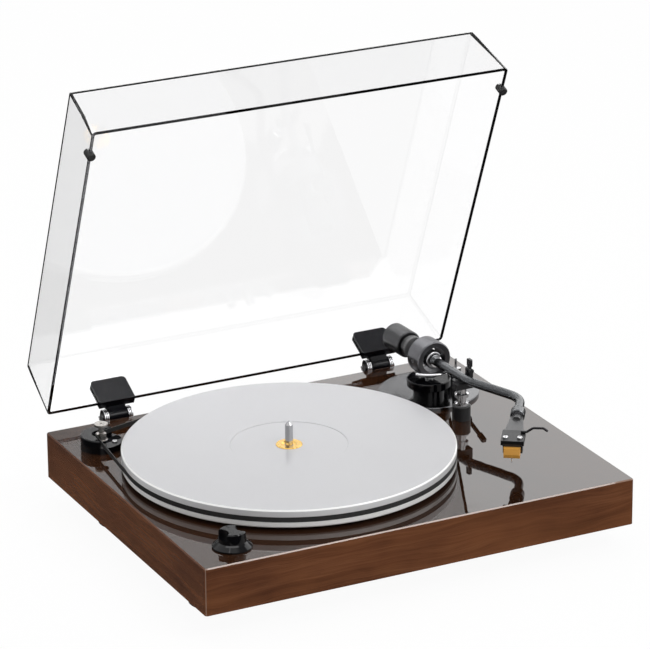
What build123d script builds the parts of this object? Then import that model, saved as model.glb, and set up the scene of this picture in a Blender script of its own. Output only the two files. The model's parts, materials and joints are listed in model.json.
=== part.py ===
from build123d import *
import math
import os

# Belt-drive turntable, in millimetres. X runs along the front, Y to the back and Z up from the floor.
# Driving dimensions come first, then each part has its own function.

# Plinth
plinth_width = 419.0
plinth_depth = 343.0
plinth_height = 43.5
plinth_corner_round = 2.5
plinth_edge_bevel = 1.0
plinth_wall = 18.0
deck_thickness = 18.0
bottom_cover_thickness = 3.0
bottom_cover_lip = 8.0
bottom_cover_gap = 0.4

# Feet
foot_height = 24.0
foot_radius = 25.0
foot_waist_radius = 21.5
foot_pad_height = 4.0
foot_side_inset = 39.5
foot_front_inset = 74.5

# Platter and its bearing
platter_x = -45.7
platter_y = 1.1
platter_radius = 150.0
platter_thickness = 16.5
platter_gap = 3.0
platter_edge_bevel = 1.2
label_radius = 53.0
label_depth = 0.6
belt_groove_depth = 1.1
belt_groove_height = 4.8
belt_groove_level = 7.7
hub_flange_radius = 12.0
hub_flange_rise = 0.8
hub_flange_sink = 1.6
hub_body_radius = 8.0
spindle_radius = 3.6
spindle_rise = 22.0
spindle_tip_length = 3.5
spindle_tip_radius = 1.2
shaft_radius = 4.0
shaft_depth = 32.0
bearing_flange_radius = 17.0
bearing_flange_height = 2.0
bearing_body_radius = 9.0
bearing_floor = 2.5
thrust_ball_radius = 2.0

# Fits
running_fit = 0.05
seat_gap = 0.1
rest_gap = 0.3

# Motor, pulley and belt
motor_x = -178.5
motor_y = 115.7
motor_radius = 12.0
motor_length = 20.0
motor_boss_radius = 5.0
motor_boss_height = 3.0
motor_shaft_radius = 1.0
pulley_radius = 4.6
pulley_flange_radius = 5.7
pulley_cap_radius = 6.3
pulley_flange_height = 1.0
pulley_neck_radius = 2.4
pulley_top = 23.0
pulley_cap_height = 2.4
motor_cover_radius = 19.0
motor_cover_height = 13.0
motor_cover_sill = 6.2
motor_cover_round = 1.5
motor_cover_well_radius = 8.5
motor_cover_screw_reach = 12.5
belt_clearance = 1.4
belt_width = 4.2
belt_thickness = 0.8

# Speed knob and its switch
knob_x = -168.6
knob_y = -138.8
knob_skirt_radius = 17.5
knob_skirt_height = 4.5
knob_skirt_rim = 1.2
knob_radius = 12.2
knob_height = 15.0
knob_grip_low = 9.0
knob_grip_width = 8.5
knob_scallop_radius = 8.5
knob_turn = 4.0
knob_stem_radius = 3.0
switch_side = 18.0
switch_height = 11.0

# Tonearm
arm_pivot_x = 140.5
arm_pivot_y = 85.0
arm_height = 40.0
arm_heading = 2.5
arm_base_x = 146.0
arm_base_y = 95.0
arm_base_radius = 47.0
arm_base_height = 3.0
arm_base_edge = 0.8
tower_neck_radius = 14.5
tower_neck_height = 8.7
tower_disc_radius = 20.5
tower_disc_height = 8.0
tower_stem_radius = 8.8
tower_stem_depth = 26.0
arm_shaft_radius = 4.0
arm_nut_radius = 15.0
arm_nut_height = 6.0
ring_radius = 17.6
ring_bore = 12.2
ring_length = 20.0
arm_hub_radius = 8.4
arm_hub_length = 20.0
pivot_screw_radius = 2.2
pivot_tip_radius = 1.2
tube_radius = 4.2
tube_bore = 3.6
tube_straight = 70.0
tube_outward_heading = 17.5
tube_middle = 64.0
tube_inward_heading = -36.2
tube_end = 34.0
tube_first_bend = 45.0
tube_second_bend = 26.0
tube_ring_radius = 5.6
tube_ring_length = 2.0
stub_radius = 4.0
stub_length = 62.0
bush_radius = 6.0
weight_radius = 12.8
weight_length = 28.0
weight_start = 36.5
weight_recess_radius = 9.5
weight_recess_depth = 6.0
weight_edge = 1.0
dial_radius = 10.6
dial_length = 7.5
dial_gap = 3.0
weight_collar_radius = 9.0

# Headshell and cartridge, measured from the tube's second bend
socket_radius = 5.2
socket_start = 30.0
socket_end = 46.0
collar_radius = 6.6
collar_length = 13.0
collar_start = 31.5
neck_radius = 3.9
shell_start = 46.5
shell_front = 106.0
shell_neck_width = 11.0
shell_width = 20.5
shell_waist_width = 16.4
shell_shoulder = 80.0
shell_thickness = 3.0
shell_lip_height = 3.5
shell_lip_width = 1.5
cartridge_width = 17.4
cartridge_back = 88.0
cartridge_front = 105.0
cartridge_height = 11.5
stylus_reach = 108.2
stylus_width = 14.5
stylus_front = 110.0
stylus_back = 98.0
stylus_top = 4.2
stylus_bottom = 14.2
stylus_tip_drop = 18.0
cantilever_radius = 0.4
shell_screw_spacing = 12.7
shell_screw_reach = 98.7
shell_screw_radius = 1.9
shell_screw_length = 5.2
finger_lift_reach = 86.0
finger_lift_length = 20.0
finger_lift_radius = 1.1

# Arm lift, cue lever, arm rest and anti-skate dial
lift_radius = 32.0
lift_post_angle = -60.0
lift_prong_angle = -67.0
lift_end_angle = -138.0
lift_wire_radius = 1.2
lift_prong_rise = 12.0
lift_prong_radius = 1.0
lift_tip_radius = 1.45
lift_post_cap = 1.6
lift_post_radius = 2.5
lift_post_length = 16.5
lift_housing_radius = 5.5
lift_housing_top = 24.0
cue_axle_radius = 1.8
cue_axle_level = 18.0
cue_boss_radius = 3.5
cue_boss_length = 9.0
cue_hub_radius = 4.0
cue_hub_width = 4.0
cue_length = 33.0
cue_rise = 18.0
cue_bar_height = 2.6
cue_grip_length = 11.0
cue_grip_height = 4.4
rest_x = 142.0
rest_y = 24.0
rest_post_radius = 8.5
rest_post_height = 14.0
rest_stem_radius = 4.5
rest_ring_radius = 6.6
rest_stem_top = 30.0
cradle_width = 17.0
cradle_depth = 9.0
cradle_stop_gap = 0.8
cradle_ear = 3.4
clip_pivot_level = 46.4
clip_ear_radius = 2.2
clip_tongue = 3.0
clip_length = 10.8
clip_thickness = 2.6
clip_pin_radius = 0.8
anti_skate_angle = 20.0
anti_skate_reach = 31.5
anti_skate_radius = 8.0
anti_skate_height = 12.0
anti_skate_stem_radius = 2.5

# Dust cover and hinges
cover_width = 410.3
cover_depth = 331.0
cover_height = 64.0
cover_wall = 3.0
cover_taper = 4.5
cover_corner_round = 4.0
cover_top_round = 2.5
cover_gap = 5.0
cover_back = 167.0
cover_open_angle = 67.8
bumper_radius = 4.0
bumper_reach = 306.0
bumper_height = 9.5
bumper_clearance = 0.6
hinge_x = 136.0
hinge_axis_back = 7.7
hinge_axis_rise = 0.2
hinge_width = 35.0
hinge_plate = 3.0
hinge_plate_height = 26.0
hinge_plate_drop = 8.5
knuckle_radius = 6.3
knuckle_width = 17.0
ear_width = 5.0
hinge_side_gap = 0.4
hinge_pin_radius = 2.0
hinge_pin_head = 3.6
clamp_plate = 2.4
clamp_height = 25.0
clamp_corner = 4.0
clamp_gap = 0.1

# Back panels
panel_width = 84.0
panel_height = 30.0
panel_plate = 2.0
panel_opening_margin = 5.0
signal_panel_x = 62.0
power_panel_x = -62.0
phono_spacing = 20.0
phono_offset = -16.0
phono_radius = 4.15
phono_bore = 1.7
phono_barrel = 10.0
phono_flange_radius = 6.2
phono_flange = 2.0
panel_body_radius = 5.0
panel_body_depth = 12.0
ground_offset = 26.0
ground_radius = 2.0
ground_length = 9.5
ground_nut_radius = 5.2
ground_nut_height = 5.0
inlet_offset = -18.0
inlet_radius = 5.5
inlet_bore = 3.0
inlet_depth = 9.0
inlet_pin_radius = 1.0
switch_offset = 16.0
slide_frame_width = 20.0
slide_frame_height = 10.0
slide_frame = 1.5
slide_width = 6.0
slide_height = 5.0
slide_rise = 3.0
slide_travel = 4.0

# Inside
board_x = 55.0
board_y = -70.0
board_width = 110.0
board_depth = 70.0
board_thickness = 1.6
standoff_radius = 3.0
standoff_height = 6.0
board_inset = 7.0
screw_head_radius = 3.0
screw_head_height = 1.6
screw_shank_radius = 1.4
screw_length = 7.0

top = foot_height + plinth_height
under_deck = top - deck_thickness
platter_low = top + platter_gap
back_face = plinth_depth / 2
arm_z = top + arm_height
hinge_y = back_face + hinge_axis_back
hinge_z = top + hinge_axis_rise
cover_low = top + cover_gap
cover_front = cover_back - cover_depth
belt_z = platter_low + belt_groove_level
panel_z = foot_height + plinth_height / 2


def block(x0, x1, y0, y1, z0, z1):
    """A box between two corners."""
    centre = Pos((x0 + x1) / 2, (y0 + y1) / 2, (z0 + z1) / 2)
    return centre * Box(abs(x1 - x0), abs(y1 - y0), abs(z1 - z0))


def post(radius, z0, z1, x=0.0, y=0.0):
    """An upright cylinder from z0 to z1."""
    return Pos(x, y, (z0 + z1) / 2) * Cylinder(radius, z1 - z0)


def turned(profile, x=0.0, y=0.0, z=0.0):
    """A solid turned about Z from (radius, height) points, the first and last on or near the axis."""
    outline = make_face(Plane.XZ * Polyline(*profile, close=True))
    return Pos(x, y, z) * revolve(outline, Axis.Z)


def prism_x(points, x0, x1):
    """A (y, z) outline drawn from x0 to x1."""
    face = make_face(Pos(x0, 0, 0) * (Plane.YZ * Polyline(*points, close=True)))
    return extrude(face, x1 - x0, dir=(1, 0, 0))


def along_x(shape, x=0.0, y=0.0, z=0.0):
    """A shape made about Z, laid along +X."""
    return Pos(x, y, z) * Rot(0, 90, 0) * shape


def along_back(shape, x=0.0, y=0.0, z=0.0):
    """A shape made about Z, laid along +Y."""
    return Pos(x, y, z) * Rot(-90, 0, 0) * shape


def heading(angle):
    """The plan direction that leaves -Y by this angle towards +X."""
    turn = math.radians(angle)
    return Vector(math.sin(turn), -math.cos(turn), 0)


def screw(head=screw_head_radius, height=screw_head_height, shank=screw_shank_radius, length=screw_length):
    """A pan-head screw with its head above z = 0 and a cross recess in the head."""
    body = Pos(0, 0, height / 2) * Cylinder(head, height)
    body = fillet(body.edges().sort_by(Axis.Z)[-1], height * 0.45)
    slot = head * 0.28
    for turn in (0, 90):
        body -= Pos(0, 0, height) * Rot(0, 0, turn) * Box(head * 1.3, slot, height * 0.9)
    return body + Pos(0, 0, -length / 2) * Cylinder(shank, length)


def foot_places():
    x = plinth_width / 2 - foot_side_inset
    y = plinth_depth / 2 - foot_front_inset
    return [(-x, -y), (x, -y), (-x, y), (x, y)]


def cover_screw_places():
    x = plinth_width / 2 - plinth_wall + bottom_cover_lip / 2
    y = plinth_depth / 2 - plinth_wall + bottom_cover_lip / 2
    return [(-x, -y), (0, -y), (x, -y), (-x, y), (0, y), (x, y)]


def lift_place(angle):
    """A point on the lift's circle round the arm's upright axis."""
    turn = math.radians(angle)
    return arm_pivot_x + lift_radius * math.cos(turn), arm_pivot_y + lift_radius * math.sin(turn)


def make_plinth():
    outline = RectangleRounded(plinth_width, plinth_depth, plinth_corner_round)
    body = Pos(0, 0, foot_height) * extrude(outline, plinth_height)
    body = chamfer(body.faces().sort_by(Axis.Z)[-1].edges(), plinth_edge_bevel)
    inner_x = plinth_width / 2 - plinth_wall
    inner_y = plinth_depth / 2 - plinth_wall
    body -= block(-inner_x, inner_x, -inner_y, inner_y, foot_height, under_deck)
    lip_x = inner_x + bottom_cover_lip
    lip_y = inner_y + bottom_cover_lip
    body -= block(-lip_x, lip_x, -lip_y, lip_y, foot_height, foot_height + bottom_cover_thickness)
    holes = [
        (platter_x, platter_y, bearing_body_radius + seat_gap),
        (motor_x, motor_y, motor_boss_radius + seat_gap),
        (arm_pivot_x, arm_pivot_y, tower_stem_radius + seat_gap),
        (knob_x, knob_y, knob_stem_radius + 1.5 + seat_gap),
    ]
    for x, y, radius in holes:
        body -= post(radius, under_deck - 1, top + 1, x, y)
    for x in (signal_panel_x, power_panel_x):
        half = panel_width / 2 - panel_opening_margin
        tall = panel_height / 2 - panel_opening_margin
        body -= block(x - half, x + half, inner_y - 1, back_face + 1, panel_z - tall, panel_z + tall)
    hole = screw_shank_radius + seat_gap
    for x, y in cover_screw_places():
        body -= post(hole, foot_height, foot_height + screw_length + 4, x, y)
    for x, z in back_screw_places():
        body -= along_back(Cylinder(hole, 2 * screw_length + 2), x, back_face, z)
    body -= post(hole, top - 2, top + 1, *motor_screw_place())
    return body


def back_screw_places():
    """Every screw on the back face, as (x, z)."""
    places = panel_screw_places(signal_panel_x) + panel_screw_places(power_panel_x)
    return places + [(x + side * 3, hinge_screw_level()) for x in (-hinge_x, hinge_x) for side in (-1, 1)]


def make_bottom_cover():
    x = plinth_width / 2 - plinth_wall + bottom_cover_lip - bottom_cover_gap
    y = plinth_depth / 2 - plinth_wall + bottom_cover_lip - bottom_cover_gap
    cover = block(-x, x, -y, y, foot_height, foot_height + bottom_cover_thickness)
    for px, py in cover_screw_places():
        cover -= post(screw_shank_radius + seat_gap, foot_height - 1, foot_height + 5, px, py)
        cover -= post(screw_head_radius + seat_gap, foot_height - 1, foot_height + screw_head_height, px, py)
    slots = [Pos(motor_x + 40 + 7 * i, motor_y, foot_height) * Box(3, 40, 20) for i in range(5)]
    for slot in slots:
        cover -= slot
    return cover


def make_bottom_screws():
    upside_down = Rot(180, 0, 0)
    level = foot_height + screw_head_height
    return [Pos(x, y, level) * upside_down * screw() for x, y in cover_screw_places()]


def make_foot(x, y):
    flange = foot_height - 4.0
    profile = [
        (0, foot_pad_height),
        (foot_waist_radius - 1, foot_pad_height),
        (foot_waist_radius, foot_pad_height + 1),
        (foot_waist_radius, flange - 3),
        (foot_radius, flange),
        (foot_radius, foot_height),
        (0, foot_height),
    ]
    return turned(profile, x, y)


def make_foot_pads():
    pads = []
    for x, y in foot_places():
        pad = post(foot_waist_radius - 1.5, 0, foot_pad_height, x, y)
        pads.append(chamfer(pad.edges().sort_by(Axis.Z)[0], 0.8))
    return pads


def make_bearing_housing():
    bore = shaft_radius + running_fit
    floor = -shaft_depth - 2 * thrust_ball_radius
    profile = [
        (0, floor - bearing_floor),
        (bearing_body_radius, floor - bearing_floor),
        (bearing_body_radius, 0),
        (bearing_flange_radius, 0),
        (bearing_flange_radius, bearing_flange_height),
        (bore, bearing_flange_height),
        (bore, floor),
        (0, floor),
    ]
    return turned(profile, platter_x, platter_y, top)


def make_thrust_ball():
    return Pos(platter_x, platter_y, top - shaft_depth - thrust_ball_radius) * Sphere(thrust_ball_radius)


def make_platter():
    level = belt_groove_level
    half = belt_groove_height / 2
    rim = platter_radius
    bevel = platter_edge_bevel
    deep = rim - belt_groove_depth
    tall = platter_thickness
    seat = hub_flange_radius + seat_gap
    hole = hub_body_radius + seat_gap
    profile = [
        (hole, 0),
        (rim - bevel, 0),
        (rim, bevel),
        (rim, level - half),
        (deep, level - half),
        (deep, level + half),
        (rim, level + half),
        (rim, tall - bevel),
        (rim - bevel, tall),
        (label_radius, tall),
        (label_radius - label_depth, tall - label_depth),
        (seat, tall - label_depth),
        (seat, tall - hub_flange_sink),
        (hole, tall - hub_flange_sink),
    ]
    return turned(profile, platter_x, platter_y, platter_low)


def make_platter_hub():
    tall = platter_thickness
    rise = tall - label_depth + hub_flange_rise
    bore = shaft_radius + running_fit / 2
    profile = [
        (bore, 0),
        (hub_body_radius, 0),
        (hub_body_radius, tall - hub_flange_sink),
        (hub_flange_radius, tall - hub_flange_sink),
        (hub_flange_radius, rise - 0.5),
        (hub_flange_radius - 0.5, rise),
        (spindle_radius + 3.6, rise),
        (spindle_radius + 2.2, rise - 1.2),
        (bore, rise - 1.2),
    ]
    return turned(profile, platter_x, platter_y, platter_low)


def make_spindle():
    tall = platter_thickness - label_depth + hub_flange_rise - 1.2
    peak = platter_thickness + spindle_rise
    low = -platter_gap - shaft_depth
    profile = [
        (0, low),
        (shaft_radius - 0.6, low),
        (shaft_radius, low + 0.6),
        (shaft_radius, tall),
        (spindle_radius, tall),
        (spindle_radius, peak - spindle_tip_length),
        (spindle_tip_radius, peak - 0.6),
        (spindle_tip_radius - 0.6, peak),
        (0, peak),
    ]
    return turned(profile, platter_x, platter_y, platter_low)


def make_motor():
    can = post(motor_radius, under_deck - motor_length, under_deck - 1.5, motor_x, motor_y)
    can = fillet(can.edges().sort_by(Axis.Z)[0], 2.0)
    can += post(motor_radius - 2, under_deck - 2, under_deck, motor_x, motor_y)
    can += post(motor_boss_radius, under_deck - 1, under_deck + motor_boss_height, motor_x, motor_y)
    for side in (-1, 1):
        reach = motor_y + side * (motor_radius + 4)
        can += post(4.5, under_deck - 1.5, under_deck, motor_x, reach)
        can += block(motor_x - 4.5, motor_x + 4.5, motor_y, reach, under_deck - 1.5, under_deck)
    bore = motor_shaft_radius + running_fit
    return can - post(bore, under_deck - motor_length + 2, under_deck + 10, motor_x, motor_y)


def make_motor_shaft():
    return post(motor_shaft_radius, under_deck - motor_length + 3, top + pulley_top - 1, motor_x, motor_y)


def make_pulley():
    low = belt_z - top - belt_width / 2 - 0.6
    high = belt_z - top + belt_width / 2 + 0.6
    bore = motor_shaft_radius + running_fit / 2
    profile = [
        (bore, low - pulley_flange_height),
        (pulley_flange_radius, low - pulley_flange_height),
        (pulley_flange_radius, low - 0.3),
        (pulley_radius, low),
        (pulley_radius, high),
        (pulley_neck_radius, high + 0.8),
        (pulley_neck_radius, pulley_top - pulley_cap_height),
        (pulley_cap_radius, pulley_top - pulley_cap_height),
        (pulley_cap_radius, pulley_top - 0.4),
        (pulley_cap_radius - 0.4, pulley_top),
        (bore, pulley_top),
    ]
    return turned(profile, motor_x, motor_y, top)


def platter_direction():
    """The plan angle from the motor to the platter's centre, in degrees."""
    return math.degrees(math.atan2(platter_y - motor_y, platter_x - motor_x))


def motor_screw_place():
    """One screw in the cover's mouth, between the belt's two runs."""
    angle = math.radians(platter_direction())
    reach = motor_cover_screw_reach
    return motor_x + reach * math.cos(angle), motor_y + reach * math.sin(angle)


def make_motor_cover():
    """A round cap with a well for the pulley and a mouth that opens with the belt's two runs."""
    body = post(motor_cover_radius, top, top + motor_cover_height, motor_x, motor_y)
    body = fillet(body.edges().sort_by(Axis.Z)[-1], motor_cover_round)
    body -= post(motor_cover_well_radius, top + motor_cover_sill, top + 30, motor_x, motor_y)
    body -= post(motor_shaft_radius + 1.5, top - 1, top + 30, motor_x, motor_y)
    distance = math.hypot(platter_x - motor_x, platter_y - motor_y)
    spread = math.asin((platter_radius - belt_groove_depth - pulley_radius) / distance)
    offset = pulley_radius + rest_gap + belt_thickness + belt_clearance
    apex = -offset / math.sin(spread)
    reach = motor_cover_radius * 3
    fan = make_face(Polyline(
        (apex, 0),
        (apex + reach * math.cos(spread), -reach * math.sin(spread)),
        (apex + reach * math.cos(spread), reach * math.sin(spread)),
        close=True,
    ))
    mouth = Pos(motor_x, motor_y, top + motor_cover_sill) * Rot(0, 0, platter_direction()) * extrude(fan, 20)
    body -= mouth
    return body - post(screw_shank_radius + seat_gap, top - 1, top + 20, *motor_screw_place())


def make_motor_screw():
    x, y = motor_screw_place()
    return Pos(x, y, top + motor_cover_sill) * screw(2.4, 1.4, screw_shank_radius, motor_cover_sill + 1.5)


def belt_loop(extra):
    """The face inside a loop that passes both wheels at this distance."""
    big = Pos(platter_x, platter_y) * CenterArc((0, 0), platter_radius - belt_groove_depth + extra, 0, 360)
    small = Pos(motor_x, motor_y) * CenterArc((0, 0), pulley_radius + extra, 0, 360)
    return make_hull([big.edges()[0], small.edges()[0]])


def make_belt():
    band = belt_loop(rest_gap + belt_thickness) - belt_loop(rest_gap)
    return Pos(0, 0, belt_z - belt_width / 2) * extrude(band, belt_width)


def make_knob():
    profile = [
        (0, rest_gap + 1.4),
        (knob_skirt_radius - 2, rest_gap + 1.4),
        (knob_skirt_radius - 1.2, rest_gap),
        (knob_skirt_radius, rest_gap),
        (knob_skirt_radius, knob_skirt_rim + rest_gap),
        (knob_radius + 1.6, knob_skirt_height),
        (knob_radius, knob_skirt_height + 1),
        (knob_radius - 0.5, knob_height - 1.0),
        (knob_radius - 1.5, knob_height),
        (0, knob_height),
    ]
    body = turned(profile)
    for side in (-1, 1):
        x = side * (knob_grip_width / 2 + knob_scallop_radius)
        body -= post(knob_scallop_radius, knob_grip_low, knob_height + 1, x)
    mark = knob_radius * 0.45
    body -= block(-0.45, 0.45, mark, knob_radius, knob_height - 0.6, knob_height + 1)
    return Pos(knob_x, knob_y, top) * Rot(0, 0, knob_turn) * body


def make_knob_stem():
    return post(knob_stem_radius, under_deck - switch_height + 3, top + rest_gap + 1.4, knob_x, knob_y)


def make_speed_switch():
    half = switch_side / 2
    body = block(knob_x - half, knob_x + half, knob_y - half, knob_y + half,
                 under_deck - switch_height, under_deck)
    body += post(knob_stem_radius + 1.5, under_deck - 1, top - 0.5, knob_x, knob_y)
    bore = knob_stem_radius + running_fit
    return body - post(bore, under_deck - switch_height + 2, top + 5, knob_x, knob_y)


def make_arm_base():
    body = post(arm_base_radius, top, top + arm_base_height, arm_base_x, arm_base_y)
    body = fillet(body.edges().sort_by(Axis.Z)[-1], arm_base_edge)
    body -= post(tower_stem_radius + seat_gap, top - 1, top + 30, arm_pivot_x, arm_pivot_y)
    return body - post(anti_skate_stem_radius + running_fit, top - 1, top + 30, *anti_skate_place())


def make_arm_tower():
    neck = arm_base_height + tower_neck_height
    high = neck + tower_disc_height
    bore = arm_shaft_radius + running_fit
    profile = [
        (bore, -tower_stem_depth),
        (tower_stem_radius, -tower_stem_depth),
        (tower_stem_radius, arm_base_height),
        (tower_neck_radius, arm_base_height),
        (tower_neck_radius, neck),
        (tower_disc_radius - 1, neck),
        (tower_disc_radius, neck + 1),
        (tower_disc_radius, high - 0.8),
        (tower_disc_radius - 0.8, high),
        (bore, high),
    ]
    return turned(profile, arm_pivot_x, arm_pivot_y, top)


def make_arm_nut():
    high = under_deck
    body = extrude(Pos(arm_pivot_x, arm_pivot_y, high - arm_nut_height) * RegularPolygon(arm_nut_radius, 6),
                   arm_nut_height)
    return body - post(tower_stem_radius + seat_gap, high - 20, high + 1, arm_pivot_x, arm_pivot_y)


def arm_frame():
    return Pos(arm_pivot_x, arm_pivot_y, arm_z) * Rot(0, 0, arm_heading)


def ring_shape(radius, length):
    return along_back(Cylinder(radius, length))


def make_yoke_ring():
    body = ring_shape(ring_radius, ring_length)
    body = chamfer(body.edges().filter_by(GeomType.CIRCLE), 1.0)
    body -= ring_shape(ring_bore, ring_length + 2)
    body -= along_x(Cylinder(pivot_screw_radius + seat_gap, 2 * ring_radius + 4))
    return arm_frame() * body


def make_yoke_shaft():
    low = -arm_height - tower_stem_depth + 2
    shaft = Pos(0, 0, (low - ring_radius + 4) / 2) * Cylinder(arm_shaft_radius, 4 - ring_radius - low)
    shaft -= ring_shape(ring_radius, ring_length)
    return arm_frame() * shaft


def make_pivot_screws():
    screws = []
    for side in (-1, 1):
        outer = ring_radius - 0.4
        inner = ring_bore - 1.5
        body = along_x(Cylinder(pivot_screw_radius, outer - inner), side * (outer + inner) / 2)
        body += along_x(Cylinder(pivot_tip_radius, 5), side * (inner - 2.0))
        body -= Pos(side * outer, 0, 0) * Box(1.2, 0.8, 4)
        screws.append(arm_frame() * body)
    return screws


def make_arm_hub():
    body = ring_shape(arm_hub_radius, arm_hub_length)
    body = fillet(body.edges().filter_by(GeomType.CIRCLE), 1.5)
    body -= along_x(Cylinder(pivot_tip_radius + running_fit, 2 * ring_radius))
    front = Pos(0, -arm_hub_length / 2, 0) * ring_shape(tube_radius + seat_gap, 12)
    back = Pos(0, arm_hub_length / 2, 0) * ring_shape(stub_radius + seat_gap, 12)
    return arm_frame() * (body - front - back)


def tube_points():
    start = Vector(0, -arm_hub_length / 2 + 5, 0)
    bend = heading(0) * tube_straight
    far_bend = bend + heading(tube_outward_heading) * tube_middle
    end = far_bend + heading(tube_inward_heading) * tube_end
    return [start, bend, far_bend, end]


def make_arm_tube():
    path = FilletPolyline(*tube_points(), radius=[tube_first_bend, tube_second_bend])
    section = Plane(origin=tube_points()[0], z_dir=(0, -1, 0)) * Circle(tube_radius)
    bore = Plane(origin=tube_points()[0], z_dir=(0, -1, 0)) * Circle(tube_bore)
    return arm_frame() * (sweep(section, path=path) - sweep(bore, path=path))


def make_tube_ring():
    place = Pos(0, -arm_hub_length / 2 - 3, 0)
    body = ring_shape(tube_ring_radius, tube_ring_length) - ring_shape(tube_radius + seat_gap, 10)
    return arm_frame() * place * body


def make_rear_stub():
    start = arm_hub_length / 2 - 5
    body = ring_shape(stub_radius, stub_length - start)
    return arm_frame() * Pos(0, (stub_length + start) / 2, 0) * body


def weight_bush_span():
    return weight_start - dial_gap - dial_length, weight_start + weight_length


def make_weight_bush():
    start, end = weight_bush_span()
    body = ring_shape(bush_radius, end - start) - ring_shape(stub_radius + running_fit, end - start + 2)
    return arm_frame() * Pos(0, (start + end) / 2, 0) * body


def make_counterweight():
    body = ring_shape(weight_radius, weight_length)
    body = chamfer(body.edges().filter_by(GeomType.CIRCLE), weight_edge)
    body += Pos(0, -weight_length / 2 - dial_gap / 2, 0) * ring_shape(weight_collar_radius, dial_gap)
    body -= ring_shape(bush_radius + running_fit, weight_length + 20)
    body -= Pos(0, weight_length / 2, 0) * ring_shape(weight_recess_radius, 2 * weight_recess_depth)
    return arm_frame() * Pos(0, weight_start + weight_length / 2, 0) * body


def make_force_dial():
    body = ring_shape(dial_radius, dial_length)
    body = chamfer(body.edges().filter_by(GeomType.CIRCLE), 0.6)
    body -= ring_shape(bush_radius + running_fit, dial_length + 2)
    place = weight_start - dial_gap - dial_length / 2
    return arm_frame() * Pos(0, place, 0) * body


def shell_frame():
    bend = tube_points()[2]
    return arm_frame() * Pos(bend.X, bend.Y, 0) * Rot(0, 0, tube_inward_heading)


def shell_ring(radius, start, end):
    """A round piece on the headshell's axis, from start to end ahead of the bend."""
    return Pos(0, -(start + end) / 2, 0) * ring_shape(radius, end - start)


def make_tube_socket():
    body = shell_ring(socket_radius, socket_start, socket_end)
    body -= shell_ring(tube_radius + seat_gap, socket_start - 1, tube_end + seat_gap)
    body -= shell_ring(neck_radius + seat_gap, tube_end + 1, socket_end + 1)
    return shell_frame() * body


def make_locking_collar():
    end = collar_start + collar_length
    body = shell_ring(collar_radius, collar_start, end)
    body = chamfer(body.edges().filter_by(GeomType.CIRCLE), 0.8)
    body -= shell_ring(socket_radius + running_fit, collar_start - 1, end + 1)
    for i in range(12):
        rib = Rot(0, 30 * i, 0) * Pos(collar_radius + 0.25, -(collar_start + end) / 2, 0)
        body -= rib * Box(0.9, collar_length - 4, 0.9)
    return shell_frame() * body


def make_headshell():
    half_neck = shell_neck_width / 2
    half = shell_width / 2
    half_waist = shell_waist_width / 2
    outline = make_face(Polyline(
        (-half_neck, -shell_start),
        (-half_waist, -shell_shoulder + 1),
        (-half, -shell_shoulder),
        (-half, -shell_front),
        (half, -shell_front),
        (half, -shell_shoulder),
        (half_waist, -shell_shoulder + 1),
        (half_neck, -shell_start),
        close=True,
    ))
    plate = Pos(0, 0, -shell_thickness / 2) * extrude(outline, shell_thickness)
    plate = fillet(plate.edges().filter_by(Axis.Z).group_by(Axis.Y)[0], 1.5)
    lip_back = shell_start + 8
    for side in (-1, 1):
        edge = side * (half - shell_lip_width / 2)
        lip = block(edge - shell_lip_width / 2, edge + shell_lip_width / 2, -shell_front + 2, -shell_shoulder,
                    -shell_lip_height, 0)
        plate += lip
    neck = shell_ring(neck_radius, tube_end + 2, lip_back)
    plate += neck
    for side in (-1, 1):
        x = side * shell_screw_spacing / 2
        slot = SlotOverall(10, 2 * (screw_shank_radius + seat_gap), rotation=90)
        hole = Pos(x, -shell_screw_reach + 2, 0) * slot
        plate -= extrude(hole, 10, both=True)
    return shell_frame() * plate


def cartridge_top():
    return -shell_thickness / 2


def make_cartridge():
    high = cartridge_top()
    half = cartridge_width / 2
    low = high - cartridge_height
    body = block(-half, half, -cartridge_front, -cartridge_back, low, high)
    body = fillet(body.edges().filter_by(Axis.Z), 1.2)
    nose = block(-half - 1, half + 1, -stylus_front - 1, -stylus_back + seat_gap,
                 low - 1, -stylus_top + seat_gap)
    body -= nose
    for i in range(4):
        x = -4.5 + 3 * i
        body += Pos(x, -cartridge_back + 2, high - 6) * along_back(Cylinder(0.5, 6))
    for side in (-1, 1):
        x = side * shell_screw_spacing / 2
        body -= post(screw_shank_radius + seat_gap, high - 7, high + 1, x, -shell_screw_reach)
    return shell_frame() * body


def make_stylus_holder():
    half = stylus_width / 2
    side = [
        (-stylus_front, -stylus_top),
        (-stylus_front, -stylus_bottom + 4),
        (-stylus_front + 3, -stylus_bottom),
        (-stylus_back - 2, -stylus_bottom),
        (-stylus_back, -stylus_bottom + 2),
        (-stylus_back, -stylus_top),
    ]
    body = prism_x(side, -half, half)
    body = fillet(body.edges().filter_by(Axis.Z), 0.8)
    return shell_frame() * (body - cantilever_rod(cantilever_radius + running_fit, 1.0))


def cantilever_rod(radius, extra=0.0):
    """The rod that leans down and forward from inside the stylus holder."""
    start = Vector(0, -stylus_front + 7, -stylus_bottom + 2.0)
    end = Vector(0, -stylus_reach, -stylus_tip_drop + 1.2)
    way = (end - start).normalized()
    start = start - way * extra
    length = (end - start).length
    return Plane(origin=start + way * (length / 2), z_dir=way) * Cylinder(radius, length)


def make_cantilever():
    tip = Pos(0, -stylus_reach, -stylus_tip_drop + 0.75) * Cone(0.15, 0.5, 1.5)
    return shell_frame() * (cantilever_rod(cantilever_radius) + tip)


def make_shell_screws():
    heads = []
    for side in (-1, 1):
        place = Pos(side * shell_screw_spacing / 2, -shell_screw_reach, shell_thickness / 2)
        heads.append(shell_frame() * place * screw(shell_screw_radius + 0.6, 1.8, 1.2, shell_screw_length))
    return heads


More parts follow.
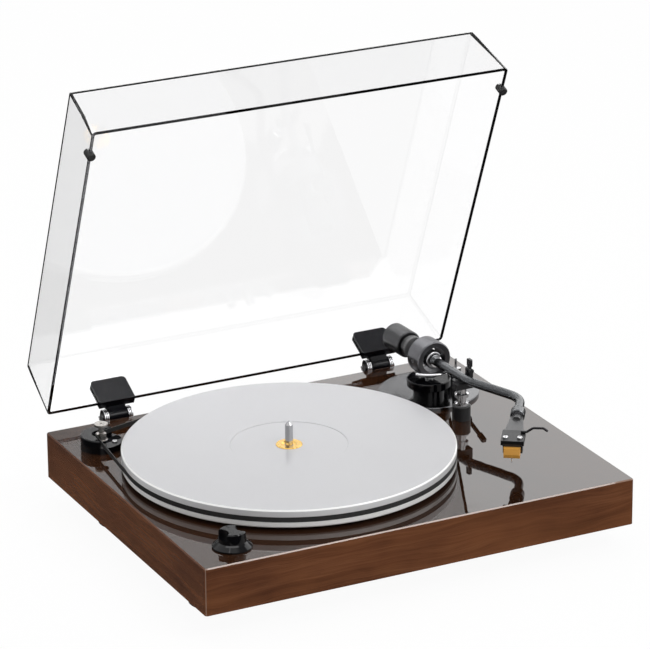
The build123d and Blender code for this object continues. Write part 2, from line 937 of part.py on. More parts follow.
def make_finger_lift():
    level = shell_thickness / 2 + finger_lift_radius
    edge = shell_width / 2
    path = FilletPolyline(
        (edge - 4, -finger_lift_reach, level),
        (edge + 1, -finger_lift_reach, level),
        (edge + 7, -finger_lift_reach - 1, level + 4.5),
        (edge + finger_lift_length - 4, -finger_lift_reach - 2, level + 5),
        (edge + finger_lift_length, -finger_lift_reach - 2.5, level + 2.5),
        radius=[2.5, 4, 3],
    )
    start = Plane(origin=(edge - 4, -finger_lift_reach, level), z_dir=(1, 0, 0))
    section = start * Circle(finger_lift_radius)
    return shell_frame() * sweep(section, path=path)


def make_lift_housing():
    x, y = lift_place(lift_post_angle)
    body = post(lift_housing_radius, top + arm_base_height, top + lift_housing_top, x, y)
    body = fillet(body.edges().sort_by(Axis.Z)[-1], 0.8)
    boss = Cylinder(cue_boss_radius, cue_boss_length)
    body += along_x(boss, x + cue_boss_length / 2, y, top + cue_axle_level)
    body -= post(lift_post_radius + running_fit, top + arm_base_height + 1, top + 60, x, y)
    start = x + lift_post_radius + 1.5
    return body - along_x(Cylinder(cue_axle_radius + running_fit, 20), start + 10, y, top + cue_axle_level)


def make_lift_bar():
    x, y = lift_place(lift_post_angle)
    level = arm_z - tube_radius - rest_gap - lift_wire_radius
    body = post(lift_post_radius, level - lift_post_length, level + lift_post_cap, x, y)
    wire = Plane.XZ * Pos(lift_radius, 0) * Circle(lift_wire_radius)
    arc = revolve(wire, Axis.Z, revolution_arc=lift_post_angle - lift_end_angle)
    body += Pos(arm_pivot_x, arm_pivot_y, level) * Rot(0, 0, lift_end_angle) * arc
    px, py = lift_place(lift_prong_angle)
    body += post(lift_prong_radius, level, level + lift_prong_rise, px, py)
    ex, ey = lift_place(lift_end_angle)
    return body + Pos(ex, ey, level) * Sphere(lift_tip_radius)


def make_cue_lever():
    x, y = lift_place(lift_post_angle)
    hub_x = x + cue_boss_length + seat_gap
    start = x + lift_post_radius + 2.0
    axle = along_x(Cylinder(cue_axle_radius, hub_x - start + 1), (start + hub_x + 1) / 2)
    hub = along_x(Cylinder(cue_hub_radius, cue_hub_width), hub_x + cue_hub_width / 2)
    middle = hub_x + cue_hub_width / 2
    bar = block(middle - 1.5, middle + 1.5, -cue_length + 2, -1, -cue_bar_height / 2, cue_bar_height / 2)
    grip = block(middle - 2.4, middle + 2.4, -cue_length, -cue_length + cue_grip_length,
                 -cue_grip_height / 2, cue_grip_height / 2)
    grip = fillet(grip.edges(), 1.0)
    lever = Rot(-cue_rise, 0, 0) * (bar + grip)
    return Pos(0, y, top + cue_axle_level) * (axle + hub + lever)


def make_rest_post():
    body = post(rest_post_radius, top, top + rest_post_height, rest_x, rest_y)
    return fillet(body.edges().sort_by(Axis.Z)[-1], 1.2)


def make_rest_stem():
    low = rest_post_height
    profile = [
        (0, low),
        (rest_ring_radius, low),
        (rest_ring_radius, low + 2),
        (rest_stem_radius, low + 3),
        (rest_stem_radius, low + 7),
        (rest_ring_radius, low + 8),
        (rest_ring_radius, low + 11),
        (rest_stem_radius, low + 12),
        (rest_stem_radius, rest_stem_top),
        (0, rest_stem_top),
    ]
    return turned(profile, rest_x, rest_y, top)


def cradle_stop_x():
    """The inner face of the cradle's stop, beside the parked tube."""
    tube_x = arm_pivot_x + (arm_pivot_y - rest_y) * math.tan(math.radians(arm_heading))
    return tube_x + tube_radius + cradle_stop_gap


def clip_axis():
    return cradle_stop_x() + cradle_ear / 2 + 0.4, top + clip_pivot_level


def make_rest_cradle():
    stop = cradle_stop_x()
    shelf = arm_z - tube_radius - rest_gap
    left = stop - cradle_width + cradle_ear
    half = cradle_depth / 2
    body = block(left, stop + cradle_ear, rest_y - half, rest_y + half, top + rest_stem_top, shelf)
    body += block(stop, stop + cradle_ear, rest_y - half, rest_y + half, shelf - 1, top + clip_pivot_level)
    ax, az = clip_axis()
    body += along_back(Cylinder(clip_ear_radius, cradle_depth), ax, rest_y, az)
    slot = clip_tongue / 2 + 0.3
    body -= block(stop - 5, stop + 10, rest_y - slot, rest_y + slot, az - clip_ear_radius - 0.8, az + 9)
    body -= along_back(Cylinder(clip_pin_radius + running_fit, 30), ax, rest_y, az)
    return body


def make_rest_clip():
    ax, az = clip_axis()
    half = clip_tongue / 2
    thick = clip_thickness / 2
    body = block(ax - thick, ax + thick, rest_y - half, rest_y + half, az, az + clip_length)
    body += along_back(Cylinder(thick, clip_tongue), ax, rest_y, az)
    tab_low = az + clip_ear_radius + 1.2
    tab = block(ax - thick, ax + thick, rest_y - 3.2, rest_y + 3.2, tab_low, az + clip_length)
    tab = fillet(tab.edges().filter_by(Axis.X), 1.2)
    pin = along_back(Cylinder(clip_pin_radius, cradle_depth), ax, rest_y, az)
    return body + tab + pin


def anti_skate_place():
    turn = math.radians(anti_skate_angle)
    return (arm_pivot_x + anti_skate_reach * math.cos(turn),
            arm_pivot_y + anti_skate_reach * math.sin(turn))


def make_anti_skate_dial():
    x, y = anti_skate_place()
    low = top + arm_base_height + rest_gap
    body = post(anti_skate_radius, low, low + anti_skate_height, x, y)
    body = chamfer(body.edges().sort_by(Axis.Z)[-1], 0.8)
    reach = anti_skate_radius + 0.3
    flute = post(0.8, low + 1, low + anti_skate_height + 1)
    for i in range(18):
        turn = math.radians(20 * i)
        body -= Pos(x + reach * math.cos(turn), y + reach * math.sin(turn)) * flute
    return body + post(anti_skate_stem_radius, top, low + 1, x, y)


def opened(shape):
    """A piece of the closed cover, swung open about the hinge pins."""
    return Pos(0, hinge_y, hinge_z) * Rot(-cover_open_angle, 0, 0) * Pos(0, -hinge_y, -hinge_z) * shape


def make_dust_cover():
    middle = (cover_back + cover_front) / 2
    outer = extrude(RectangleRounded(cover_width, cover_depth, cover_corner_round), cover_height,
                    taper=cover_taper)
    outer = fillet(outer.faces().sort_by(Axis.Z)[-1].edges(), cover_top_round)
    inner_round = cover_corner_round - cover_wall + 0.5
    inner = extrude(RectangleRounded(cover_width - 2 * cover_wall, cover_depth - 2 * cover_wall, inner_round),
                    cover_height - cover_wall, taper=cover_taper)
    return opened(Pos(0, middle, cover_low) * (outer - inner))


def make_cover_bumpers():
    bumpers = []
    y = cover_back - bumper_reach
    low = top + bumper_clearance
    for side in (-1, 1):
        x = side * (cover_width / 2 - cover_wall / 2)
        body = post(bumper_radius, low, low + bumper_height, x, y)
        body = fillet(body.edges().sort_by(Axis.Z)[0], 1.0)
        slope = math.tan(math.radians(cover_taper))
        wall = cover_wall / 2 + seat_gap
        rise = low + bumper_height + 1 - cover_low
        slit = Plane.XZ * make_face(Polyline(
            (x + side * wall, cover_low),
            (x + side * (wall - slope * rise), cover_low + rise),
            (x - side * (wall + slope * rise), cover_low + rise),
            (x - side * wall, cover_low),
            close=True,
        ))
        cut = Pos(0, y - 10, 0) * extrude(slit, 20, dir=(0, 1, 0))
        bumpers.append(opened(body - cut))
    return bumpers


def clamp_frame():
    """On the cover's back rim: local Z climbs the leaning wall and Y leaves it backwards."""
    return Pos(0, cover_back, cover_low) * Rot(cover_taper, 0, 0)


def make_hinge_clamp(x):
    half = hinge_width / 2
    outer = clamp_gap + clamp_plate
    inner = -cover_wall - clamp_gap - clamp_plate
    channel = block(-half, half, inner, outer, -outer, clamp_height)
    channel = fillet(channel.edges().filter_by(Axis.Y).group_by(Axis.Z)[-1], clamp_corner)
    channel -= block(-half - 1, half + 1, -cover_wall - clamp_gap, clamp_gap, -clamp_gap, clamp_height + 1)
    channel = clamp_frame() * channel
    half_knuckle = knuckle_width / 2
    channel += along_x(Cylinder(knuckle_radius, knuckle_width), 0, hinge_y, hinge_z)
    web = [
        (cover_back + 1.2, cover_low - 1.6),
        (cover_back + 0.6, cover_low + 9),
        (hinge_y + 1, hinge_z + knuckle_radius - 0.3),
        (hinge_y - 5, hinge_z - 1.5),
    ]
    channel += prism_x(web, -half_knuckle, half_knuckle)
    channel -= along_x(Cylinder(hinge_pin_radius + running_fit, hinge_width * 2), 0, hinge_y, hinge_z)
    return opened(Pos(x, 0, 0) * channel)


def make_hinge_base(x):
    half = hinge_width / 2
    high = top - hinge_plate_drop
    low = high - hinge_plate_height
    base = block(-half, half, back_face, back_face + hinge_plate, low, high)
    base = fillet(base.edges().filter_by(Axis.Y), 2.0)
    inside = knuckle_width / 2 + hinge_side_gap
    for side in (-1, 1):
        near = side * inside
        far = side * (inside + ear_width)
        outline = [
            (back_face, low + 12),
            (back_face, hinge_z - 4),
            (hinge_y - 5.0, hinge_z + 3.5),
            (hinge_y + 5.4, hinge_z + 3.0),
            (hinge_y + 5.4, hinge_z - 3.0),
            (back_face + hinge_plate, low + 12),
        ]
        ear = prism_x(outline, min(near, far), max(near, far))
        ear += along_x(Cylinder(knuckle_radius, ear_width), (near + far) / 2, hinge_y, hinge_z)
        base += ear
    base -= along_x(Cylinder(hinge_pin_radius + seat_gap / 2, hinge_width * 2), 0, hinge_y, hinge_z)
    for side in (-1, 1):
        hole = along_back(Cylinder(screw_shank_radius + seat_gap, 20), side * 3, back_face, low + 6)
        base -= hole
    return Pos(x, 0, 0) * base


def hinge_screw_level():
    return top - hinge_plate_drop - hinge_plate_height + 6


def make_hinge_pins():
    pins = []
    half = knuckle_width / 2 + hinge_side_gap + ear_width
    for x in (-hinge_x, hinge_x):
        body = along_x(Cylinder(hinge_pin_radius, 2 * half + 1.2), x, hinge_y, hinge_z)
        for side in (-1, 1):
            cap = Cylinder(hinge_pin_head, 1.2)
            body += along_x(cap, x + side * (half + 0.7), hinge_y, hinge_z)
        pins.append(body)
    return pins


def make_panel(x, holes):
    y0 = back_face
    plate = block(x - panel_width / 2, x + panel_width / 2, y0, y0 + panel_plate,
                  panel_z - panel_height / 2, panel_z + panel_height / 2)
    plate = fillet(plate.edges().filter_by(Axis.Y), 2.5)
    for offset, radius in holes:
        plate -= along_back(Cylinder(radius + seat_gap, 20), x + offset, y0, panel_z)
    for px, pz in panel_screw_places(x):
        plate -= along_back(Cylinder(screw_shank_radius + seat_gap, 20), px, y0, pz)
    return plate


def panel_screw_places(x):
    inset = 3.6
    half_x = panel_width / 2 - inset
    half_z = panel_height / 2 - inset
    return [(x + i * half_x, panel_z + j * half_z) for i in (-1, 1) for j in (-1, 1)]


def phono_places():
    return [signal_panel_x + phono_offset + i * phono_spacing for i in (0, 1)]


def make_signal_panel():
    holes = [(x - signal_panel_x, panel_body_radius) for x in phono_places()]
    return make_panel(signal_panel_x, holes + [(ground_offset, ground_radius)])


def make_power_panel():
    plate = make_panel(power_panel_x, [(inlet_offset, inlet_radius)])
    x = power_panel_x + switch_offset
    opening = block(x - slide_frame_width / 2 + 3, x + slide_frame_width / 2 - 3, back_face - 1,
                    back_face + 10, panel_z - slide_height / 2 - 0.5, panel_z + slide_height / 2 + 0.5)
    return plate - opening


def make_phono_sockets():
    sockets = []
    face = panel_plate
    profile = [
        (0, -panel_body_depth),
        (panel_body_radius, -panel_body_depth),
        (panel_body_radius, face),
        (phono_flange_radius, face),
        (phono_flange_radius, face + phono_flange),
        (phono_radius, face + phono_flange),
        (phono_radius, face + phono_flange + phono_barrel),
        (phono_bore, face + phono_flange + phono_barrel),
        (phono_bore, face + phono_flange),
        (0, face + phono_flange),
    ]
    for x in phono_places():
        sockets.append(along_back(turned(profile), x, back_face, panel_z))
    return sockets


def make_ground_stud():
    face = panel_plate
    profile = [
        (0, -panel_body_depth),
        (ground_radius, -panel_body_depth),
        (ground_radius, face),
        (ground_nut_radius, face),
        (ground_nut_radius, face + 1.2),
        (ground_radius, face + 1.2),
        (ground_radius, face + ground_length),
        (0, face + ground_length),
    ]
    return along_back(turned(profile), signal_panel_x + ground_offset, back_face, panel_z)


def make_ground_nut():
    low = panel_plate + 1.2 + rest_gap
    body = Pos(0, 0, low + ground_nut_height / 2) * Cylinder(ground_nut_radius, ground_nut_height)
    body = chamfer(body.edges(), 0.5)
    for i in range(16):
        turn = math.radians(22.5 * i)
        reach = ground_nut_radius + 0.25
        body -= post(0.6, low - 1, low + 20, reach * math.cos(turn), reach * math.sin(turn))
    body -= post(ground_radius + running_fit, low - 1, low + 20)
    return along_back(body, signal_panel_x + ground_offset, back_face, panel_z)


def make_dc_inlet():
    face = panel_plate
    profile = [
        (0, -panel_body_depth),
        (inlet_radius, -panel_body_depth),
        (inlet_radius, face),
        (inlet_radius + 1.2, face),
        (inlet_radius + 1.2, face + 1),
        (inlet_bore, face + 1),
        (inlet_bore, face + 1 - inlet_depth),
        (inlet_pin_radius, face + 1 - inlet_depth),
        (inlet_pin_radius, face - 1),
        (0, face - 1),
    ]
    return along_back(turned(profile), power_panel_x + inlet_offset, back_face, panel_z)


def make_slide_frame():
    x = power_panel_x + switch_offset
    y0 = back_face + panel_plate
    half_x = slide_frame_width / 2
    half_z = slide_frame_height / 2
    frame = block(x - half_x, x + half_x, y0, y0 + slide_frame, panel_z - half_z, panel_z + half_z)
    window_x = slide_width / 2 + slide_travel / 2 + 0.3
    window_z = slide_height / 2 + 0.3
    body = block(x - half_x + 3.2, x + half_x - 3.2, back_face - 8, y0 + 0.5,
                 panel_z - slide_height / 2 - 0.3, panel_z + slide_height / 2 + 0.3)
    frame += body
    return frame - block(x - window_x, x + window_x, back_face - 5, y0 + 10,
                         panel_z - window_z + 0.4, panel_z + window_z - 0.4)


def make_slide_button():
    x = power_panel_x + switch_offset - slide_travel / 2
    y0 = back_face + panel_plate + slide_frame
    button = block(x - slide_width / 2, x + slide_width / 2, back_face - 5 + running_fit, y0 + slide_rise,
                   panel_z - slide_height / 2 + 0.2, panel_z + slide_height / 2 - 0.2)
    ridge = y0 + slide_rise
    for i in range(3):
        rib = x - 1.6 + 1.6 * i
        button -= block(rib - 0.35, rib + 0.35, ridge - 0.6, ridge + 1, panel_z - 5, panel_z + 5)
    return button


def make_back_screws():
    screws = []
    for x in (signal_panel_x, power_panel_x):
        for px, pz in panel_screw_places(x):
            screws.append(along_back(screw(2.4), px, back_face + panel_plate, pz))
    for x in (-hinge_x, hinge_x):
        for side in (-1, 1):
            screws.append(along_back(screw(2.4), x + side * 3, back_face + hinge_plate, hinge_screw_level()))
    return screws


def board_corners():
    half_x = board_width / 2 - board_inset
    half_y = board_depth / 2 - board_inset
    return [(board_x + i * half_x, board_y + j * half_y) for i in (-1, 1) for j in (-1, 1)]


def make_standoffs():
    return [post(standoff_radius, under_deck - standoff_height, under_deck, x, y) for x, y in board_corners()]


def make_control_board():
    high = under_deck - standoff_height
    low = high - board_thickness
    board = block(board_x - board_width / 2, board_x + board_width / 2,
                  board_y - board_depth / 2, board_y + board_depth / 2, low, high)
    board += block(board_x - 20, board_x + 2, board_y - 8, board_y + 8, low - 3, low)
    board += block(board_x + 20, board_x + 34, board_y - 25, board_y - 15, low - 6, low)
    for i in range(3):
        board += post(4, low - 9, low, board_x - 42, board_y - 20 + 14 * i)
    return board


def make_parts():
    parts = {
        "plinth": make_plinth(),
        "bottom_cover": make_bottom_cover(),
        "case_screws": make_bottom_screws() + make_back_screws() + [make_motor_screw()],
        "feet": [make_foot(x, y) for x, y in foot_places()],
        "foot_pads": make_foot_pads(),
        "bearing_housing": [make_bearing_housing(), make_thrust_ball()],
        "platter": make_platter(),
        "platter_hub": make_platter_hub(),
        "spindle": make_spindle(),
        "motor": make_motor(),
        "motor_pulley": [make_pulley(), make_motor_shaft()],
        "motor_cover": make_motor_cover(),
        "drive_belt": make_belt(),
        "speed_knob": [make_knob(), make_knob_stem()],
        "speed_switch": make_speed_switch(),
        "arm_base": make_arm_base(),
        "arm_tower": [make_arm_tower(), make_arm_nut()],
        "gimbal_ring": make_yoke_ring(),
        "gimbal_shaft": make_yoke_shaft(),
        "pivot_screws": make_pivot_screws(),
        "arm_hub": make_arm_hub(),
        "arm_tube": make_arm_tube(),
        "arm_tube_ring": make_tube_ring(),
        "rear_stub": make_rear_stub(),
        "weight_bush": make_weight_bush(),
        "counterweight": make_counterweight(),
        "force_dial": make_force_dial(),
        "tube_socket": make_tube_socket(),
        "locking_collar": make_locking_collar(),
        "headshell": make_headshell(),
        "headshell_screws": make_shell_screws(),
        "finger_lift": make_finger_lift(),
        "cartridge": make_cartridge(),
        "stylus_holder": make_stylus_holder(),
        "cantilever": make_cantilever(),
        "lift_housing": make_lift_housing(),
        "lift_bar": make_lift_bar(),
        "cue_lever": make_cue_lever(),
        "rest_post": make_rest_post(),
        "rest_stem": make_rest_stem(),
        "rest_cradle": make_rest_cradle(),
        "rest_clip": make_rest_clip(),
        "anti_skate_dial": make_anti_skate_dial(),
        "dust_cover": make_dust_cover(),
        "cover_bumpers": make_cover_bumpers(),
        "hinge_pins": make_hinge_pins(),
        "signal_panel": make_signal_panel(),
        "power_panel": make_power_panel(),
        "phono_sockets": make_phono_sockets(),
        "ground_stud": make_ground_stud(),
        "ground_nut": make_ground_nut(),
        "dc_inlet": make_dc_inlet(),
        "auto_stop_switch": make_slide_frame(),
        "auto_stop_button": make_slide_button(),
        "control_board": [make_control_board()] + make_standoffs(),
    }
    for name, x in (("left", -hinge_x), ("right", hinge_x)):
        parts["hinge_clamp_" + name] = make_hinge_clamp(x)
        parts["hinge_base_" + name] = make_hinge_base(x)
    return parts


def solids_of(part):
    """Every solid of a part or of a group of parts."""
    if isinstance(part, list):
        return [solid for piece in part for solid in piece.solids()]
    return list(part.solids())


def main():
    os.makedirs("parts", exist_ok=True)
    parts = {name: solids_of(part) for name, part in make_parts().items()}
    boxes = [solid.bounding_box() for solids in parts.values() for solid in solids]
    middle_y = (min(box.min.Y for box in boxes) + max(box.max.Y for box in boxes)) / 2
    for name, solids in parts.items():
        placed = Compound(children=[Pos(0, -middle_y, 0) * solid for solid in solids])
        export_step(placed, "parts/" + name + ".step")
    print("nodes", len(parts), "middle of the depth", round(middle_y, 4))


main()
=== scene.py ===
import json
import math

import bpy
from mathutils import Matrix, Vector


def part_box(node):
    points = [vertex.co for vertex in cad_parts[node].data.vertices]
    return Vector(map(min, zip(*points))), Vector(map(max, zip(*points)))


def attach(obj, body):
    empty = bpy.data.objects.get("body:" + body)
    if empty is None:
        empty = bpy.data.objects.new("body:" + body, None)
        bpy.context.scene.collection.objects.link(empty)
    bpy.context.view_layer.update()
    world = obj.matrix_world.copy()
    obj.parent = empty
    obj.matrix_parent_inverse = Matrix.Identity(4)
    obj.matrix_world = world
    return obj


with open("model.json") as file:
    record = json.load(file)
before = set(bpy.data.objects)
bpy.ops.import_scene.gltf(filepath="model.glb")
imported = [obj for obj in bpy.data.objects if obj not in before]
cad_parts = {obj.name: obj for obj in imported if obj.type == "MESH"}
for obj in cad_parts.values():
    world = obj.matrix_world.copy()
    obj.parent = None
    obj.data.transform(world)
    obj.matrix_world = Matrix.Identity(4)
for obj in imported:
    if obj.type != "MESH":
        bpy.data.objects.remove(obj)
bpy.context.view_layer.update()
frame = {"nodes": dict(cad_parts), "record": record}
nodes = frame["nodes"]
MM = 0.001


# The photograph's frame, in pixels, and its camera, in millimetres and degrees.
IMAGE_WIDTH = 650
IMAGE_HEIGHT = 649
FOCAL_PIXELS = 3852.0
CENTRE_X = 357.0
CENTRE_Y = 249.0
CAMERA_AZIMUTH = -27.05
CAMERA_ELEVATION = 19.58
CAMERA_ROLL = -0.28
CAMERA_PLACE = (-1437.7, -2892.2, 1402.6)
SENSOR_WIDTH = 36.0
CLIP_START = 0.1
CLIP_END = 60.0


def node_joint(name):
    """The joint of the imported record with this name."""
    return next(j for j in frame["record"]["behaviour"]["joints"] if j["name"] == name)


def middle(node):
    """The centre of a CAD node's box."""
    low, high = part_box(node)
    return (low + high) / 2


class Shader:
    """A node material with the Principled shader as its base."""

    def __init__(self, name, colour=(0.5, 0.5, 0.5), roughness=0.5, metallic=0.0, ior=None):
        self.material = bpy.data.materials.new(name)
        self.material.use_nodes = True
        self.tree = self.material.node_tree
        self.base = self.tree.nodes["Principled BSDF"]
        self.put("Base Color", (*colour, 1.0))
        self.put("Roughness", roughness)
        self.put("Metallic", metallic)
        if ior:
            self.put("IOR", ior)

    def put(self, socket, value):
        """Gives a socket of the base one value for the whole surface."""
        self.base.inputs[socket].default_value = value

    def set(self, socket, value):
        """Joins a socket of the base to a value that varies over the surface."""
        self.feed(self.base.inputs[socket], value)

    def feed(self, socket, value):
        if isinstance(value, bpy.types.NodeSocket):
            self.tree.links.new(value, socket)
        else:
            socket.default_value = value

    def node(self, kind, **inputs):
        made = self.tree.nodes.new(kind)
        for key, value in inputs.items():
            self.feed(made.inputs[key], value)
        return made

    def coated(self, weight, roughness):
        """Adds a clear layer over the base."""
        self.put("Coat Weight", weight)
        self.put("Coat Roughness", roughness)

    def place(self):
        """Object-space position in metres, which moves with the piece."""
        return self.tree.nodes.new("ShaderNodeTexCoord").outputs["Object"]

    def normal(self):
        return self.tree.nodes.new("ShaderNodeTexCoord").outputs["Normal"]

    def joined(self, x, y, z):
        """A vector from its three parts."""
        return self.node("ShaderNodeCombineXYZ", X=x, Y=y, Z=z).outputs[0]

    def parts(self, vector):
        made = self.tree.nodes.new("ShaderNodeSeparateXYZ")
        self.feed(made.inputs[0], vector)
        return made.outputs

    def math(self, operation, a, b=0.0):
        made = self.tree.nodes.new("ShaderNodeMath")
        made.operation = operation
        self.feed(made.inputs[0], a)
        self.feed(made.inputs[1], b)
        return made.outputs[0]

    def vector_math(self, operation, a, b):
        made = self.tree.nodes.new("ShaderNodeVectorMath")
        made.operation = operation
        self.feed(made.inputs[0], a)
        self.feed(made.inputs[1], b)
        return made.outputs

    def dot(self, a, b):
        return self.vector_math("DOT_PRODUCT", a, b)["Value"]

    def scaled(self, vector, scale):
        made = self.tree.nodes.new("ShaderNodeMapping")
        made.vector_type = "POINT"
        self.feed(made.inputs["Vector"], vector)
        made.inputs["Scale"].default_value = scale
        return made.outputs[0]

    def noise(self, vector, scale, detail=3.0, roughness=0.55):
        made = self.tree.nodes.new("ShaderNodeTexNoise")
        self.feed(made.inputs["Vector"], vector)
        made.inputs["Scale"].default_value = scale
        made.inputs["Detail"].default_value = detail
        made.inputs["Roughness"].default_value = roughness
        made.inputs["Distortion"].default_value = 0.0
        return made.outputs["Fac"]

    def ramp(self, factor, *stops):
        made = self.tree.nodes.new("ShaderNodeValToRGB")
        self.feed(made.inputs[0], factor)
        ramp = made.color_ramp
        while len(ramp.elements) < len(stops):
            ramp.elements.new(0.5)
        for element, (position, colour) in zip(ramp.elements, stops):
            element.position = position
            element.color = (*colour, 1.0)
        return made.outputs["Color"]

    def span(self, value, low, high, out_low, out_high):
        """Maps a value from one range to another, and stops at its ends."""
        made = self.tree.nodes.new("ShaderNodeMapRange")
        self.feed(made.inputs["Value"], value)
        ends = {"From Min": low, "From Max": high, "To Min": out_low, "To Max": out_high}
        for key, number in ends.items():
            self.feed(made.inputs[key], number)
        return made.outputs[0]

    def mix(self, factor, a, b):
        made = self.tree.nodes.new("ShaderNodeMix")
        made.data_type = "RGBA"
        self.feed(made.inputs[0], factor)
        self.feed(made.inputs[6], (*a, 1.0) if isinstance(a, tuple) else a)
        self.feed(made.inputs[7], (*b, 1.0) if isinstance(b, tuple) else b)
        return made.outputs[2]

    def bump(self, height, strength, distance):
        made = self.tree.nodes.new("ShaderNodeBump")
        made.inputs["Strength"].default_value = strength
        made.inputs["Distance"].default_value = distance
        self.feed(made.inputs["Height"], height)
        return made.outputs[0]

    def blend(self, factor, a, b):
        """Mixes two whole shaders."""
        made = self.tree.nodes.new("ShaderNodeMixShader")
        self.feed(made.inputs[0], factor)
        self.feed(made.inputs[1], a)
        self.feed(made.inputs[2], b)
        return made.outputs[0]

    def finish(self, surface):
        """Makes a shader the material's surface."""
        self.feed(self.tree.nodes["Material Output"].inputs["Surface"], surface)


# Walnut veneer under lacquer. The grain is drawn out along each board by GRAIN_STRETCH.
LACQUER_IOR = 1.62
LACQUER_WAVE = 0.012
GRAIN_STRETCH = 0.045
GRAIN_WARP = 0.02
WOOD_BANDS = ((0.28, (0.055, 0.019, 0.009)), (0.5, (0.12, 0.044, 0.02)), (0.74, (0.21, 0.086, 0.04)))
WOOD_VEIN = (0.05, 0.015, 0.006)
WOOD_PORE = (0.02, 0.007, 0.004)
WOOD_CLOUD = (0.25, 0.095, 0.036)
DECK_BANDS = ((0.3, (0.018, 0.007, 0.003)), (0.7, (0.036, 0.014, 0.006)))
# EDGE_HIGHLIGHT_TINT is a painted highlight: a pale colour painted on the front bevels and corners, where
# the polished lacquer catches the light. EDGE_HIGHLIGHT_SHARE is its strength.
EDGE_HIGHLIGHT_TINT = (0.42, 0.3, 0.24)
EDGE_HIGHLIGHT_SHARE = 0.45


def walnut():
    """Veneered sides with a level grain, and a darker top, all under polished lacquer, with a highlight
    painted along the front bevels and corners.
    """
    m = Shader("walnut_lacquer", roughness=0.4)
    m.coated(1.0, 0.02)
    m.put("Coat IOR", LACQUER_IOR)
    m.put("Specular IOR Level", 0.0)
    x, y, z = m.parts(m.place())
    nx, ny, nz = m.parts(m.normal())
    faces_sideways = m.math("GREATER_THAN", m.math("ABSOLUTE", nx), 0.7)
    along = m.mix(faces_sideways, x, y)
    unrolled = m.joined(along, m.math("ADD", y, x), z)
    warp = m.noise(m.scaled(unrolled, (3.0, 3.0, 12.0)), 2.0, 2.0)
    lifted = m.math("ADD", z, m.math("MULTIPLY", warp, GRAIN_WARP))
    grain_place = m.joined(m.math("MULTIPLY", along, GRAIN_STRETCH), 0.0, lifted)
    broad = m.noise(grain_place, 95.0, 3.0, 0.6)
    fine = m.noise(m.scaled(grain_place, (0.7, 1.0, 5.0)), 220.0, 4.0, 0.65)
    pores = m.noise(m.scaled(grain_place, (2.2, 1.0, 7.0)), 420.0, 2.0, 0.6)
    cloud = m.noise(m.scaled(unrolled, (9.0, 9.0, 20.0)), 1.0, 2.0)
    wood = m.ramp(broad, *WOOD_BANDS)
    wood = m.mix(m.span(fine, 0.35, 0.65, 0.0, 0.55), wood, WOOD_VEIN)
    wood = m.mix(m.span(pores, 0.58, 0.66, 0.0, 0.5), wood, WOOD_PORE)
    wood = m.mix(m.span(cloud, 0.3, 0.7, 0.0, 0.35), wood, WOOD_CLOUD)
    is_top = m.span(nz, 0.85, 0.98, 0.0, 1.0)
    colour = m.mix(is_top, wood, m.ramp(broad, *DECK_BANDS))
    # Painted highlight: the front chamfers and rounded corners are painted paler for the light that the
    # lacquer catches there.
    bevel_highlight = m.math("MULTIPLY", m.span(nz, 0.4, 0.6, 0.0, 1.0), m.math("SUBTRACT", 1.0, is_top))
    turned_both_ways = m.math("MINIMUM", m.math("ABSOLUTE", nx), m.math("ABSOLUTE", ny))
    corner = m.span(turned_both_ways, 0.5, 0.62, 0.0, 1.0)
    front_highlight_share = m.span(ny, -0.5, -0.3, EDGE_HIGHLIGHT_SHARE, 0.0)
    painted_edge_highlight = m.math("MULTIPLY", m.math("MAXIMUM", bevel_highlight, corner), front_highlight_share)
    m.set("Base Color", m.mix(painted_edge_highlight, colour, EDGE_HIGHLIGHT_TINT))
    m.set("Coat Normal", m.bump(m.noise(m.place(), 60.0, 1.0), LACQUER_WAVE, 2 * MM))
    return m.material


ACRYLIC_IOR = 1.49
FROSTED_TINT = (0.5, 0.5, 0.515)
# RIM_PAINTED_GLOW and UPPER_RIM_PAINTED_GLOW are painted light: the glow of light running inside the
# acrylic, painted onto its rim, palest on the lower band.
RIM_PAINTED_GLOW = (0.95, 0.95, 0.94)
UPPER_RIM_PAINTED_GLOW = (0.66, 0.66, 0.67)
PLATTER_LOWER_BAND = 6.0 * MM
RIM_REACH = 5.0 * MM


